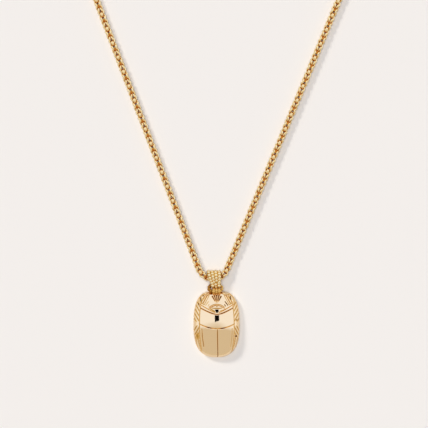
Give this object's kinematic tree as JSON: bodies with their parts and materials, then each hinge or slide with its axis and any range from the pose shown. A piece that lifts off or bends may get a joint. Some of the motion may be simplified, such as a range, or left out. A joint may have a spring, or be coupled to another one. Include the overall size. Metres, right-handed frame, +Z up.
{
  "type": "scarab amulet necklace",
  "caption": "Carved gold scarab amulet on a beaded bail and a knotted link neck chain, closed by a hook clasp and laid flat.",
  "frame": {"origin": "middle of the scarab's flat underside, on the surface that the necklace lies on", "axes": "+X to the scarab's right as seen from above, +Y from its tail to its head and on along the chain, +Z up out of its carved back"},
  "size_m": [0.1068, 0.2141, 0.006],
  "materials": {
    "polished_gold": "high polish",
    "beaded_gold": "polished beading, darker between the beads",
    "chain_gold": "polished links"
  },
  "bodies": {
    "root": {"scarab": "polished_gold", "beaded_ring": "beaded_gold", "bail": "beaded_gold", "chain_through_bail": "chain_gold", "chain_right_side": "chain_gold", "chain_right_back_1": "chain_gold", "chain_right_back_2": "chain_gold", "end_cap_right": "polished_gold", "chain_left_side": "chain_gold", "chain_left_back_1": "chain_gold", "chain_left_back_2": "chain_gold", "end_cap_left": "polished_gold", "clasp_hook": "polished_gold"}
  },
  "joints": []
}
